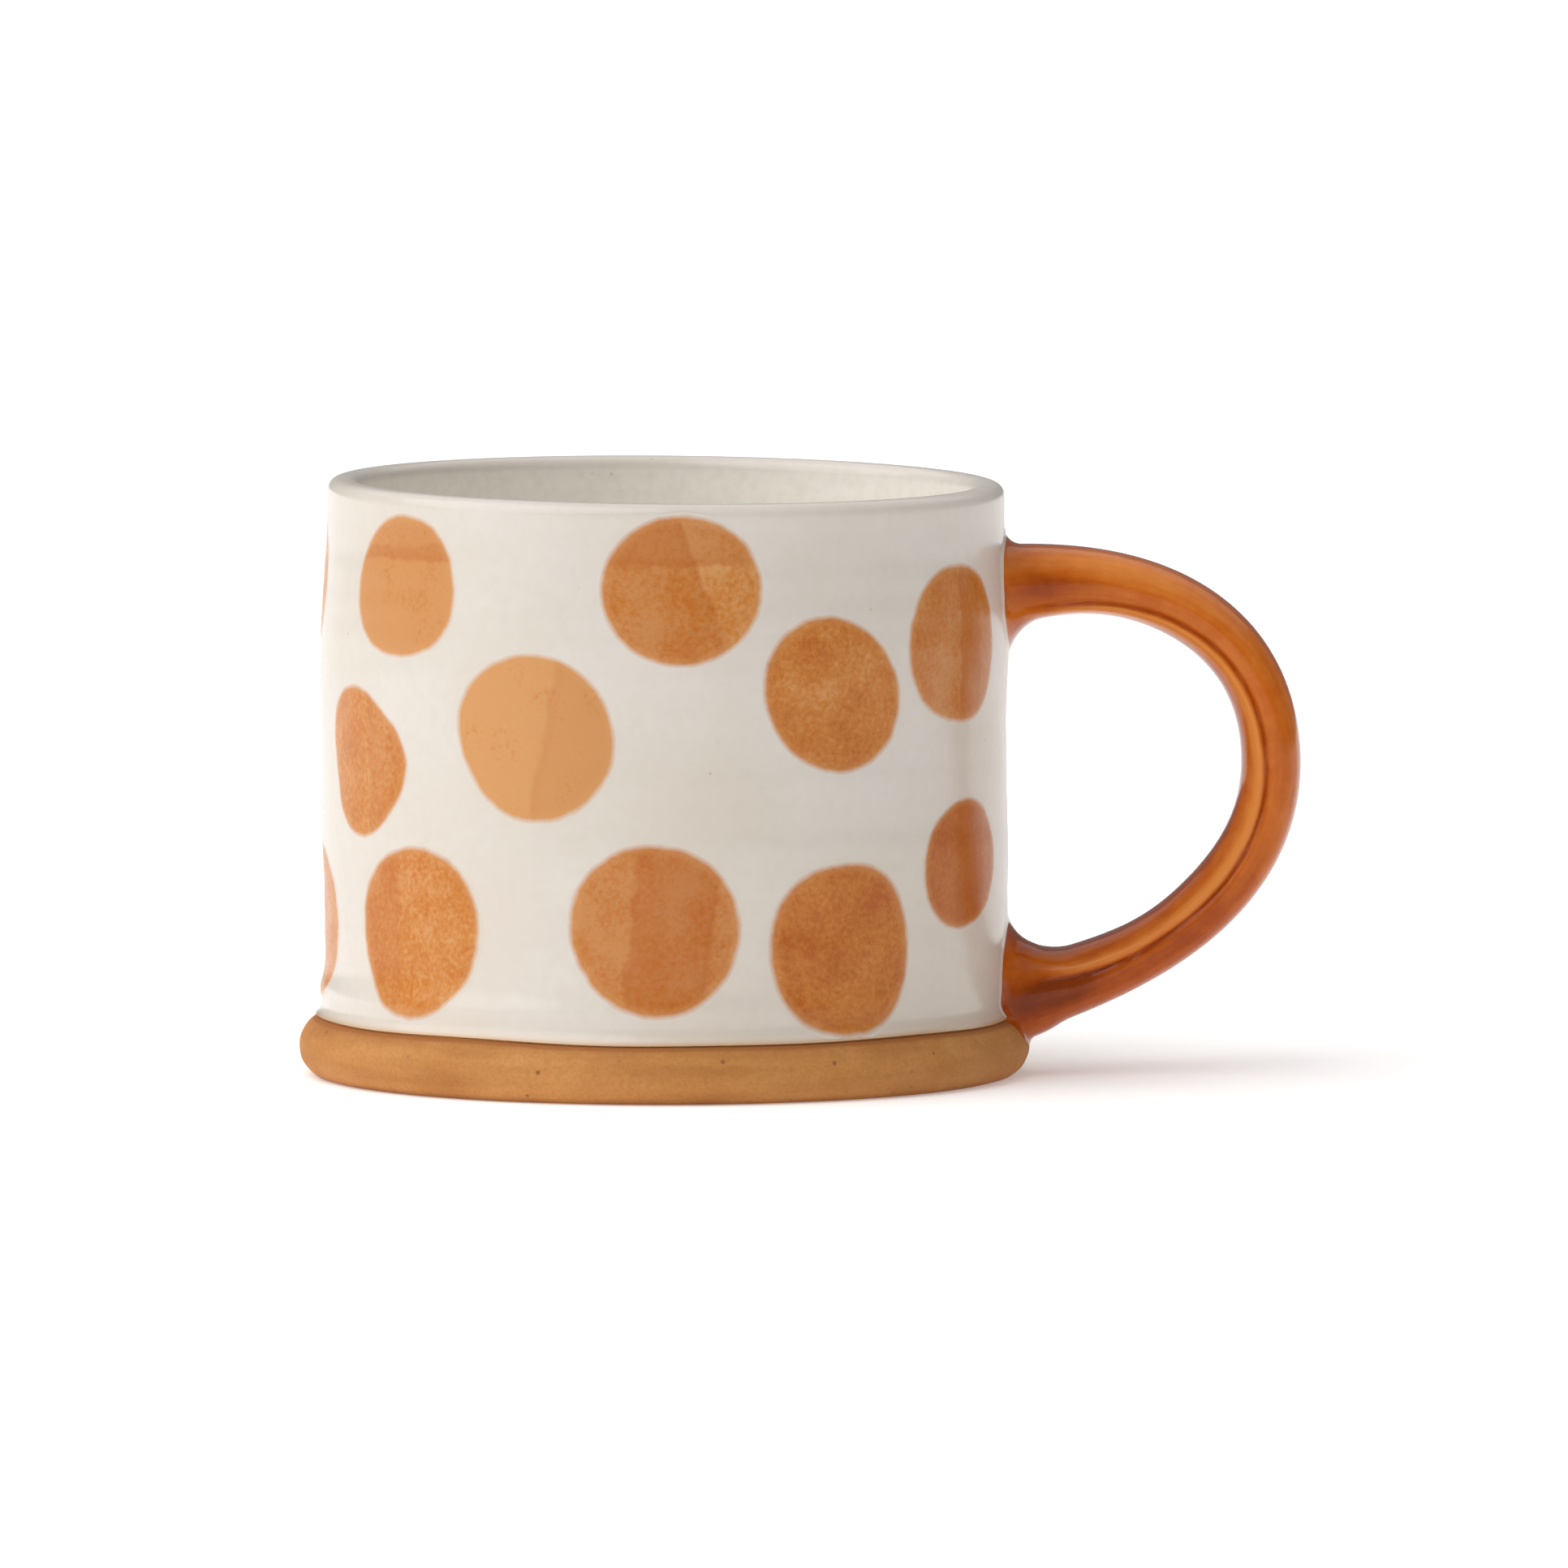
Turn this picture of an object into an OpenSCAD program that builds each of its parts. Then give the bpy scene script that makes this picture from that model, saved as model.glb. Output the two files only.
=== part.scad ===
// Stoneware mug: a straight round cup on a flared bare-clay base, with a pulled loop handle,
// a pale glaze inside and out, an amber glaze on the handle, and painted spots.
// Millimetres. +Z is up, the handle points along +X, and the origin is the middle of the
// foot, on the surface that the mug stands on.

/* [Cup] */
// Height of the mug from the table to the top of its lip
mug_h = 82.5; // [70:0.5:100]
// Outside diameter of the glazed cup above the base
cup_d = 94; // [84:1:110]
// Thickness of the clay wall
wall_t = 3.7; // [3:0.1:5]
// Thickness of each coat of glaze
glaze_t = 0.35; // [0.2:0.05:0.5]
// Radius of the outer edge of the clay lip
lip_outer = 1; // [0.6:0.1:1.4]
// Radius of the inner edge of the clay lip
lip_inner = 1.3; // [0.8:0.1:1.8]
// Radius of the coil of clay pressed into the inside corner
coil_r = 6; // [4:0.5:9]

/* [Base] */
// Diameter of the base across its widest point
foot_d = 101.2; // [98:0.2:104]
// Height of the base, up to the seam with the wall
foot_h = 8.2; // [8:0.1:8.6]
// Radius of the rounded edge of the base
foot_round = 4.4; // [4:0.1:4.6]
// Height of the middle of that rounded edge
foot_round_z = 4; // [3.6:0.1:4.2]
// Radius of the hollow curve where the base meets the cup
foot_cove = 3.5; // [3:0.1:4]
// Diameter of the hollow under the base, inside the foot ring
recess_d = 78; // [60:1:84]
// Depth of that hollow
recess_h = 2; // [1:0.1:3]

/* [Handle] */
// Distance of the handle's middle line from the cup's axis, where it reaches furthest
reach = 83.3; // [78:0.1:90]
// Height of that furthest point
reach_z = 43; // [38:1:48]
// Height of the upper end of the middle line, inside the wall
upper_z = 67; // [62:0.5:68]
// Height of the lower end of the middle line, inside the wall
lower_z = 9.8; // [9:0.1:12]
// Thickness of the clay handle, seen from its side
handle_t = 7.7; // [6:0.1:9]
// Width of the clay handle, seen from its end
handle_w = 13; // [10:0.5:16]
// How much thicker and wider the handle is at its joints, in millimetres all round
handle_swell = 1.7; // [0.5:0.1:2]

/* [Spots] */
// Width of a painted spot
spot_w = 22.5; // [16:0.5:24]
// Height of a painted spot
spot_h = 21; // [16:0.5:22]
// Thickness of the paint
spot_t = 0.12; // [0.1:0.01:0.2]

/* [Hidden] */
$fn = 128;
bare_clay = "#cd9150";
inner_clay = "#b98a5c";
cream = "#e6ddd0";
amber = "#b4622f";
spot_paint = "#cf9352";

// Clay surfaces of the cup, under the glaze
clay_r = cup_d / 2 - glaze_t;
inner_r = clay_r - wall_t;
clay_top = mug_h - glaze_t;
// The two coats of glaze meet along the middle of the lip
meet_r = clay_r - wall_t / 2;
// Middles of the two rounded edges of the lip
outer_edge = [clay_r - lip_outer, clay_top - lip_outer];
inner_edge = [inner_r + lip_inner, clay_top - lip_inner];

// The base's outside is two arcs that touch: a rounded edge, then a hollow curve into the wall
edge_c = [foot_d / 2 - foot_round, foot_round_z];
cove_x = clay_r + foot_cove;
cove_c = [cove_x, edge_c.y + sqrt(pow(foot_round + foot_cove, 2) - pow(cove_x - edge_c.x, 2))];

// The handle's middle line is two curves of four points each, joined at the furthest point
root_x = clay_r - 1.65;
upper_curve = [[root_x, upper_z], [66, upper_z + 4], [reach, reach_z + 19], [reach, reach_z]];
lower_curve = [[reach, reach_z], [reach, reach_z - 19], [63, lower_z + 3.6], [root_x, lower_z]];
handle_rings = 48;
handle_sides = 24;
section_power = 2.4;

// Heights of the two patches of slip on the cup, their outline on the wall and where they end,
// [width, height], and how far they stand out
upper_slip_z = upper_z;
lower_slip_z = lower_z + 1;
slip_patch = [17.8, 13.2];
slip_neck = [15.5, 10.6];
slip_reach = 1.6;

// Each painted spot is [angle around the cup, height, size], with 0 degrees at the front
// and 90 degrees at the handle
upper_row = [[-93, 68, 0.9], [-51, 69.5, 0.95], [3, 69.9, 1], [59, 61, 1.02],
             [134, 66, 0.98], [180, 69.5, 1], [224, 65, 0.96]];
middle_row = [[-107, 44, 1], [-62, 45, 0.94], [-23, 50, 1.08], [30, 55.3, 1],
              [117, 42, 0.95], [159, 46, 1.05], [207, 43.5, 1]];
lower_row = [[-86, 21.5, 1], [-47.5, 22, 1.1], [-2, 23.3, 1.1], [32, 20.6, 1.04],
             [61, 30.7, 0.86], [110, 22.5, 0.9], [144, 22, 1.05], [190, 21.5, 1.08], [231, 22.5, 1]];
spot_points = 20;

// A point on a curve of four points, with t from 0 to 1
function bezier(c, t) = pow(1 - t, 3) * c[0] + 3 * t * pow(1 - t, 2) * c[1]
                      + 3 * t * t * (1 - t) * c[2] + pow(t, 3) * c[3];
// The middle line of the handle, [x, z], with s from 0 at the upper joint to 1 at the lower
function handle_line(s) = s < 0.5 ? bezier(upper_curve, 2 * s) : bezier(lower_curve, 2 * s - 1);
// The direction across the handle's thickness, away from the finger gap
function handle_out(s) = let (d = handle_line(min(1, s + 0.01)) - handle_line(max(0, s - 0.01)))
                         [-d.y, d.x] / norm(d);
// The extra size at the joints, which dies away towards the middle of the handle
function swell(s) = handle_swell * pow(abs(2 * s - 1), 5);
// A point of a rounded section: the same rule gives an oval at 2 and a box as it grows
function rounded(a) = [sign(cos(a)) * pow(abs(cos(a)), 2 / section_power),
                       sign(sin(a)) * pow(abs(sin(a)), 2 / section_power)];
function handle_ring(s, grow) =
    let (c = handle_line(s), o = handle_out(s),
         half_t = handle_t / 2 + swell(s) + grow, half_w = handle_w / 2 + swell(s) + grow)
    [for (k = [0 : handle_sides - 1])
        let (p = rounded(360 * k / handle_sides))
        [c.x - o.x * half_t * p.x, half_w * p.y, c.y - o.y * half_t * p.x]];
// The edge of a hand-painted spot, slightly uneven, and different for each seed
function blob(size, seed) =
    [for (k = [0 : spot_points - 1])
        let (a = 360 * k / spot_points,
             r = size * (1 + 0.03 * sin(2 * a + 70 * seed) + 0.02 * sin(3 * a + 130 * seed)))
        [r * spot_w / 2 * cos(a), r * spot_h / 2 * sin(a)]];

// Half outlines, turned around the Z axis to make the round pieces
module clip_z(low, high) {
    intersection() {
        children();
        translate([0, low]) square([foot_d, high - low]);
    }
}

// The clay of the base and the foot of the wall, as if the cup were solid
module foot_outline() {
    clip_z(0, cove_c.y) {
        square([clay_r, cove_c.y]);
        translate(edge_c) circle(r = foot_round);
        difference() {
            polygon([edge_c, cove_c, [clay_r, cove_c.y]]);
            translate(cove_c) circle(r = foot_cove);
        }
    }
}

// The outside of the cup above the base, with a coat of thickness g
module cup_outline(g) {
    clip_z(foot_h, mug_h) {
        square([clay_r + g, outer_edge.y]);
        square([outer_edge.x, clay_top + g]);
        translate(outer_edge) circle(r = lip_outer + g);
        difference() {
            polygon([edge_c, cove_c, [clay_r + g, cove_c.y], [clay_r + g, foot_h]]);
            translate(cove_c) circle(r = foot_cove - g);
        }
    }
}

// The space inside the cup, less a coat of thickness g; it opens out over the lip's inner edge
module inside_outline(g) {
    clip_z(foot_h + g, mug_h) {
        square([inner_r - coil_r, mug_h]);
        translate([0, foot_h + coil_r]) square([inner_r - g, mug_h]);
        translate([inner_r - coil_r, foot_h + coil_r]) circle(r = coil_r - g);
    }
    difference() {
        translate([0, inner_edge.y]) square([inner_edge.x, mug_h - inner_edge.y]);
        translate(inner_edge) circle(r = lip_inner + g);
    }
    translate([0, clay_top + g]) square([meet_r, mug_h]);
}

module clay_blank() {
    rotate_extrude() {
        foot_outline();
        cup_outline(0);
    }
}

module handle_tube(grow) {
    rings = [for (i = [0 : handle_rings]) handle_ring(i / handle_rings, grow)];
    n = handle_sides;
    points = [for (ring = rings) for (p = ring) p];
    sides = [for (i = [0 : handle_rings - 1]) for (k = [0 : n - 1])
        [i * n + k, (i + 1) * n + k, (i + 1) * n + (k + 1) % n, i * n + (k + 1) % n]];
    ends = [[for (k = [0 : n - 1]) k], [for (k = [n - 1 : -1 : 0]) handle_rings * n + k]];
    polyhedron(points, concat(sides, ends));
}

// A flat plate with round ends, standing in the YZ plane
module patch(size, thick) {
    rotate([90, 0, 90]) linear_extrude(thick) {
        square([size.x - size.y, size.y], center = true);
        for (side = [-1, 1])
            translate([side * (size.x - size.y) / 2, 0]) circle(d = size.y, $fn = 48);
    }
}

// The whole bulk of slip around one joint, before the clay is taken out of it
module slip_blank(z) {
    translate([0, 0, z]) hull() {
        translate([inner_r, 0, 0]) patch(slip_patch, clay_r - inner_r);
        translate([clay_r + slip_reach, 0, 0]) patch(slip_neck, 0.1);
    }
}

module slip(z) {
    difference() {
        slip_blank(z);
        clay_blank();
        handle_tube(0);
    }
}

module spots(row, seed) {
    intersection() {
        rotate_extrude() translate([cup_d / 2, cove_c.y]) square([spot_t, outer_edge.y - cove_c.y]);
        union() for (i = [0 : len(row) - 1])
            rotate([0, 0, row[i][0] - 90]) translate([0, 0, row[i][1]])
                rotate([90, 0, 90]) linear_extrude(cup_d) polygon(blob(row[i][2], seed + i));
    }
}

module base_slab() {
    color(bare_clay) rotate_extrude() difference() {
        clip_z(0, foot_h) foot_outline();
        square([recess_d / 2, recess_h]);
    }
}

module cup_wall() {
    color(inner_clay) rotate_extrude() difference() {
        union() {
            clip_z(foot_h, cove_c.y) foot_outline();
            cup_outline(0);
        }
        square([inner_r, mug_h]);
        inside_outline(0);
    }
}

module inside_seam_coil() {
    color(inner_clay) rotate_extrude() difference() {
        translate([inner_r - coil_r, foot_h]) square(coil_r);
        translate([inner_r - coil_r, foot_h + coil_r]) circle(r = coil_r);
    }
}

module handle() {
    color(inner_clay) difference() {
        handle_tube(0);
        clay_blank();
    }
}

module upper_handle_slip() {
    color(inner_clay) slip(upper_slip_z);
}

module lower_handle_slip() {
    color(inner_clay) slip(lower_slip_z);
}

module outer_glaze() {
    color(cream) difference() {
        rotate_extrude() difference() {
            cup_outline(glaze_t);
            cup_outline(0);
            square([meet_r, mug_h]);
        }
        for (z = [upper_slip_z, lower_slip_z])
            translate([inner_r, 0, z]) patch(slip_patch, cup_d);
    }
}

module liner_glaze() {
    color(cream) rotate_extrude() clip_z(foot_h, mug_h) difference() {
        inside_outline(0);
        inside_outline(glaze_t);
    }
}

module handle_glaze() {
    color(amber) difference() {
        handle_tube(glaze_t);
        handle_tube(0);
        clay_blank();
        slip_blank(upper_slip_z);
        slip_blank(lower_slip_z);
    }
}

module upper_spots() {
    color(spot_paint) spots(upper_row, 1);
}

module middle_spots() {
    color(spot_paint) spots(middle_row, 11);
}

module lower_spots() {
    color(spot_paint) spots(lower_row, 21);
}

base_slab();
cup_wall();
inside_seam_coil();
handle();
upper_handle_slip();
lower_handle_slip();
outer_glaze();
liner_glaze();
handle_glaze();
upper_spots();
middle_spots();
lower_spots();
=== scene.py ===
# %% [markdown]
# # A spotted stoneware mug
# The mug is a round clay cup on a flared base, with a pulled loop handle. It has a cream glaze
# inside and out, an amber glaze on the handle, and ochre spots painted round the wall in three rows.
# The solid model gives every size. These cells build the skins that are seen, and their finishes.

# %% Load the solid model
import math

import bpy
import numpy as np
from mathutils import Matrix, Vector


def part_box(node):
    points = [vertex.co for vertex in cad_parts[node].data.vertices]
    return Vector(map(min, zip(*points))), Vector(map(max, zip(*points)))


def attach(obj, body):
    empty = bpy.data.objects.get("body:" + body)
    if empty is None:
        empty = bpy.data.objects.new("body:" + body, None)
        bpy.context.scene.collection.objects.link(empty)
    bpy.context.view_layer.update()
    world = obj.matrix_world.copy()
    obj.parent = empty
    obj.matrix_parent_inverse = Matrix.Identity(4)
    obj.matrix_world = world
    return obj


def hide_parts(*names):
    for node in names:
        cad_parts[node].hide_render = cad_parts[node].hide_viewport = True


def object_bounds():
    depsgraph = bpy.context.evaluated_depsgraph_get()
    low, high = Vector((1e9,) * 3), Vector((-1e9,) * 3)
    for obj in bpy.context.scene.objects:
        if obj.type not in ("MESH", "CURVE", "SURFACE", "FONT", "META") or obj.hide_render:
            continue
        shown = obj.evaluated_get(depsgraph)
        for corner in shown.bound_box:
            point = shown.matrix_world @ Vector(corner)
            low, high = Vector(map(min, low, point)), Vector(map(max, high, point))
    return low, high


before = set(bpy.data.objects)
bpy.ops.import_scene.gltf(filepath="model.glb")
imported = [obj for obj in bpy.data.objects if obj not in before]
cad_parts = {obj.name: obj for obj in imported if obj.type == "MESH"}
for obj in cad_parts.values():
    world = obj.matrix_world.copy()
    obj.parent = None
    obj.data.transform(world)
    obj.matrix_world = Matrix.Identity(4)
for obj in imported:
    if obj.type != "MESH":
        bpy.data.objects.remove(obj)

cad_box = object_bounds()
bpy.ops.object.select_all(action="DESELECT")
print("solid model:", [tuple(round(v, 4) for v in corner) for corner in cad_box])

# %% [markdown]
# ## Sizes
# Sizes are in millimetres, as a potter would say them, and become metres when a mesh is made.
# What the solid model can tell is asked of it; the rest repeats its few driving dimensions.

# %% Sizes of the mug
mm = 0.001
foot_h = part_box("base_slab")[1].z / mm
foot_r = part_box("base_slab")[1].y / mm - 0.1
mug_h = cad_box[1].z / mm
glaze_t = mug_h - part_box("cup_wall")[1].z / mm
inner_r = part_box("inside_seam_coil")[1].y / mm
coil_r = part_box("inside_seam_coil")[1].z / mm - foot_h
cup_r = 47.0
clay_r = cup_r - glaze_t
meet_r = (clay_r + inner_r) / 2
print(f"cup {2 * cup_r:.0f} mm wide, {mug_h:.1f} mm high; base {2 * foot_r:.1f} mm wide")
print(f"each coat of glaze is {glaze_t:.2f} mm thick")

# %% [markdown]
# ## The studio
# A pale floor, a wide bright ceiling that also lights the inside of the cup, and one broad soft
# light from the left, so that the cup shades gently from left to right. A long lens far away
# keeps the cup's sides parallel, and it looks down only a little. The floor glows faintly, as a
# light table does, so that the shadows on it stay pale.

# %% Camera
camera_distance = 3.0
camera_tilt = math.radians(4.6)
picture_width = 0.2158
aim = Vector((0.0163, 0.0, 0.0399))

camera_data = bpy.data.cameras.new("camera")
camera = bpy.data.objects.new("camera", camera_data)
bpy.context.scene.collection.objects.link(camera)
camera.location = aim + camera_distance * Vector((0, -math.cos(camera_tilt), math.sin(camera_tilt)))
camera.rotation_euler = (math.pi / 2 - camera_tilt, 0, 0)
camera_data.lens = camera_data.sensor_width * camera_distance / picture_width
camera_data.clip_end = 100
bpy.context.scene.camera = camera
print(f"lens {camera_data.lens:.0f} mm")

# %% Floor, sky and lamps
bpy.ops.mesh.primitive_plane_add(size=60, location=(0, 20, 0))
floor = bpy.context.object
floor.name = "floor"

bpy.ops.object.light_add(type="SUN", location=(-2, -1.5, 2))
key = bpy.context.object
key.name = "soft_key"
key.rotation_euler = (math.radians(46), 0, math.radians(-66))
key.data.energy = 2.08
key.data.angle = math.radians(80)

bpy.ops.object.light_add(type="AREA", location=(0, 1.5, 3))
ceiling = bpy.context.object
ceiling.name = "bright_ceiling"
ceiling.data.size = 8
ceiling.data.energy = 110

sky = bpy.data.worlds.new("sky")
bpy.context.scene.world = sky
sky.use_nodes = True
sky.node_tree.nodes["Background"].inputs["Color"].default_value = (1, 1, 1, 1)
sky.node_tree.nodes["Background"].inputs["Strength"].default_value = 0.20
bpy.context.scene.view_settings.view_transform = "Standard"

# %% [markdown]
# ## Helpers for finishes
# A finish is a small net of nodes. Two helpers keep the net readable: one adds a node and fills its
# sockets, and the other makes a colour ramp. A number that is the same all over is typed straight
# into the shader's own socket.

# %% Node helpers
def add(tree, kind, values=None, **settings):
    """Adds a node. A value that is a socket is linked, and any other is typed in."""
    node = tree.nodes.new(kind)
    for key, value in settings.items():
        setattr(node, key, value)
    for key, value in (values or {}).items():
        if isinstance(value, bpy.types.NodeSocket):
            tree.links.new(value, node.inputs[key])
        else:
            node.inputs[key].default_value = value
    return node


def ramp(tree, factor, *stops):
    """A colour ramp from (place, grey or colour) stops."""
    node = add(tree, "ShaderNodeValToRGB", {"Fac": factor})
    elements = node.color_ramp.elements
    while len(elements) < len(stops):
        elements.new(0.5)
    for element, (place, colour) in zip(elements, stops):
        element.position = place
        rgb = (colour,) * 3 if isinstance(colour, (int, float)) else colour
        element.color = (*rgb, 1)
    return node.outputs["Color"]


def mix(tree, factor, a, b):
    """Mixes colour a with colour b."""
    node = add(tree, "ShaderNodeMix", data_type="RGBA")
    for socket, value in ((node.inputs[0], factor), (node.inputs[6], a), (node.inputs[7], b)):
        if isinstance(value, bpy.types.NodeSocket):
            tree.links.new(value, socket)
        elif isinstance(value, tuple):
            socket.default_value = (*value, 1)
        else:
            socket.default_value = value
    return node.outputs[2]


def maths(tree, operation, *values, clamp=False):
    """One sum, product or other operation on numbers or sockets."""
    node = add(tree, "ShaderNodeMath", operation=operation, use_clamp=clamp)
    for socket, value in zip(node.inputs, values):
        if isinstance(value, bpy.types.NodeSocket):
            tree.links.new(value, socket)
        else:
            socket.default_value = value
    return node.outputs[0]


print("node helpers ready")

# %% Patterns, relief and new finishes
def noise(tree, size_mm, detail=3.0, stretch=(1, 1, 1), roughness=0.5, vector=None):
    """Cloudy noise whose blotches are about size_mm across, fixed to the object."""
    if vector is None:
        vector = add(tree, "ShaderNodeTexCoord").outputs["Object"]
    place = add(tree, "ShaderNodeMapping", {"Vector": vector, "Scale": stretch}).outputs["Vector"]
    return add(tree, "ShaderNodeTexNoise", {"Vector": place, "Scale": 1 / (size_mm * mm),
                                            "Detail": detail, "Roughness": roughness}).outputs["Fac"]


def specks(tree, spacing_mm, size, seed=0.0):
    """Small round specks: 1 in the middle of a speck and 0 outside."""
    vector = add(tree, "ShaderNodeTexCoord").outputs["Object"]
    moved = add(tree, "ShaderNodeMapping", {"Vector": vector, "Location": (seed, seed, seed)})
    place = moved.outputs["Vector"]
    cells = add(tree, "ShaderNodeTexVoronoi", {"Vector": place, "Scale": 1 / (spacing_mm * mm)})
    return ramp(tree, cells.outputs["Distance"], (size * 0.5, 1), (size, 0))


def new_finish(name, **sockets):
    """An empty material with its shader; the sockets given are typed in."""
    material = bpy.data.materials.new(name)
    material.use_nodes = True
    tree = material.node_tree
    shader = tree.nodes["Principled BSDF"]
    for key, value in sockets.items():
        shader.inputs[key.replace("_", " ")].default_value = value
    return material, tree, shader


def bump(tree, height, depth_mm, normal=None):
    """Turns a height from 0 to 1 into small relief of depth_mm."""
    values = {"Height": height, "Distance": depth_mm * mm, "Strength": 1.0}
    if normal is not None:
        values["Normal"] = normal
    return add(tree, "ShaderNodeBump", values).outputs["Normal"]


def attribute(tree, name):
    """A value that was stored on the piece's points."""
    return add(tree, "ShaderNodeAttribute", attribute_name=name)


print("pattern helpers ready")

# %% [markdown]
# ## The cream glaze
# A milky, slightly warm glaze over buff clay. It is glass, so it is smooth, but it isn't even: it is
# a little cooler where it is thick and browner where it thins out at its lower edge. Its colour also
# holds painted shade, a grey band on the lip that is strongest on the left and fades towards the
# handle, and painted light, a whiter cream all over the inside of the cup.
# It holds a few iron specks. The same net is used again under the painted spots, so it is a function
# that returns colour, gloss and relief.

# %% Cream glaze
cream_thick = (0.710, 0.655, 0.592)
cream_thin = (0.680, 0.612, 0.530)
# Painted light: a whiter copy of the cream for the inside of the cup.
cream_inside_light = (0.940, 0.900, 0.828)
# Painted shade: a grey for the top of the lip.
cream_lip_shade = (0.450, 0.410, 0.360)
cream_edge = (0.600, 0.400, 0.230)
cream_mottle = (0.60, 0.53, 0.44)
iron_speck = (0.42, 0.26, 0.13)
glaze_relief = 0.035


def cream_net(tree):
    """Returns the colour, roughness and height of the cream glaze."""
    cloud = ramp(tree, noise(tree, 26, 4), (0.38, 0), (0.66, 1))
    colour = mix(tree, cloud, cream_thick, cream_thin)
    # Painted light: the inside of the cup gets the whiter cream.
    colour = mix(tree, attribute(tree, "inside_light").outputs["Fac"], colour, cream_inside_light)
    fine = ramp(tree, noise(tree, 1.6, 3), (0.42, 0), (0.72, 1))
    colour = mix(tree, maths(tree, "MULTIPLY", fine, 0.16), colour, cream_mottle)
    scattered = ramp(tree, noise(tree, 14, 2), (0.55, 0), (0.68, 1))
    speck = maths(tree, "MULTIPLY", specks(tree, 4.2, 0.075), scattered)
    colour = mix(tree, maths(tree, "MULTIPLY", speck, 0.5), colour, iron_speck)
    colour = mix(tree, attribute(tree, "thin").outputs["Fac"], colour, cream_edge)
    # Painted shade: the lip is greyed, most on the left and least near the handle.
    colour = mix(tree, attribute(tree, "lip").outputs["Fac"], colour, cream_lip_shade)
    gloss = maths(tree, "MULTIPLY_ADD", noise(tree, 5, 3), 0.14, 0.16)
    height = maths(tree, "MULTIPLY_ADD", noise(tree, 2.2, 2), 0.6,
                   maths(tree, "MULTIPLY", noise(tree, 9, 2), 1.2))
    return colour, gloss, height


cream, tree, shader = new_finish("cream_glaze", IOR=1.5)
colour, gloss, height = cream_net(tree)
tree.links.new(colour, shader.inputs["Base Color"])
tree.links.new(gloss, shader.inputs["Roughness"])
tree.links.new(bump(tree, height, glaze_relief), shader.inputs["Normal"])
print(cream.name, len(tree.nodes), "nodes")

# %% [markdown]
# ## The painted spots
# Each spot is a wash of ochre brushed on before the last firing, so it has the gloss of the glaze
# that covers it. Where one stroke overlaps the next the ochre is darker, with a fairly straight edge;
# round its border the wash is thinner and paler, and then it fades into the cream. Every spot
# carries its own brush coordinates and the places of two overlaps, stored on its points.

# %% Spot paint
ochre_light = (0.635, 0.305, 0.108)
ochre_mid = (0.560, 0.190, 0.028)
ochre_dark = (0.440, 0.105, 0.008)

paint, tree, shader = new_finish("spot_paint", IOR=1.5, Specular_IOR_Level=0.30)
colour, gloss, height = cream_net(tree)
brush = add(tree, "ShaderNodeSeparateXYZ", {"Vector": attribute(tree, "brush").outputs["Vector"]})
strength = add(tree, "ShaderNodeSeparateXYZ", {"Vector": attribute(tree, "strength").outputs["Vector"]})
inward = attribute(tree, "inward").outputs["Fac"]

grain = maths(tree, "MULTIPLY_ADD", noise(tree, 0.7, 4, roughness=0.65), 1.50, -0.75)
cloud = maths(tree, "MULTIPLY_ADD", noise(tree, 6, 3), 1.10, -0.55)
tone = maths(tree, "ADD", maths(tree, "ADD", grain, cloud), strength.outputs["Z"])
wash = ramp(tree, tone, (0.05, ochre_light), (0.50, ochre_mid), (1.0, ochre_dark))

for overlap, share in (("overlap_a", "X"), ("overlap_b", "Y")):
    edge = add(tree, "ShaderNodeSeparateXYZ", {"Vector": attribute(tree, overlap).outputs["Vector"]})
    along_x = maths(tree, "MULTIPLY", brush.outputs["X"], edge.outputs["X"])
    along_y = maths(tree, "MULTIPLY", brush.outputs["Y"], edge.outputs["Y"])
    place = maths(tree, "SUBTRACT", maths(tree, "ADD", along_x, along_y), edge.outputs["Z"])
    ragged = maths(tree, "ADD", place, maths(tree, "MULTIPLY_ADD", noise(tree, 3.0, 4), 0.24, 0.38))
    covered = ramp(tree, ragged, (0.45, 0), (0.54, 1))
    brim = ramp(tree, ragged, (0.46, 0), (0.52, 1), (0.62, 0))
    weight = strength.outputs[share]
    wash = mix(tree, maths(tree, "MULTIPLY", covered, weight), wash, ochre_dark)
    brim_weight = maths(tree, "MULTIPLY", weight, 0.7)
    wash = mix(tree, maths(tree, "MULTIPLY", brim, brim_weight), wash, ochre_dark)

wobble = maths(tree, "ADD", inward, maths(tree, "MULTIPLY_ADD", noise(tree, 3, 3), 0.30, -0.15))
border = ramp(tree, wobble, (0.30, 1), (0.60, 0.8), (1.0, 0))
painted = ramp(tree, wobble, (0.10, 0), (0.52, 1))
wash = mix(tree, maths(tree, "MULTIPLY", border, 0.40), wash, ochre_light)
colour = mix(tree, painted, colour, wash)
tree.links.new(colour, shader.inputs["Base Color"])
tree.links.new(maths(tree, "MULTIPLY_ADD", painted, 0.05, gloss), shader.inputs["Roughness"])
tree.links.new(bump(tree, height, glaze_relief), shader.inputs["Normal"])
print(paint.name, len(tree.nodes), "nodes")

# %% [markdown]
# ## The bare clay
# The base was waxed before glazing, so its clay shows: a toasted orange-tan, dry and matt, with a
# fine gritty grain and darker specks of iron. A browner band close under the glaze's edge and a
# darker bottom edge are painted shade; the base's points store how much of it they get.

# %% Bare clay
clay_light = (0.600, 0.285, 0.088)
clay_tan = (0.530, 0.228, 0.060)
# Dark clay, used for streaks and grain and for the painted shade under the glaze and at the bottom
# edge.
clay_toasted_and_shade = (0.330, 0.112, 0.026)
clay_speck = (0.16, 0.06, 0.02)
body_light = (0.50, 0.29, 0.14)
body_tan = (0.42, 0.23, 0.10)
body_toasted = (0.30, 0.15, 0.06)


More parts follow.
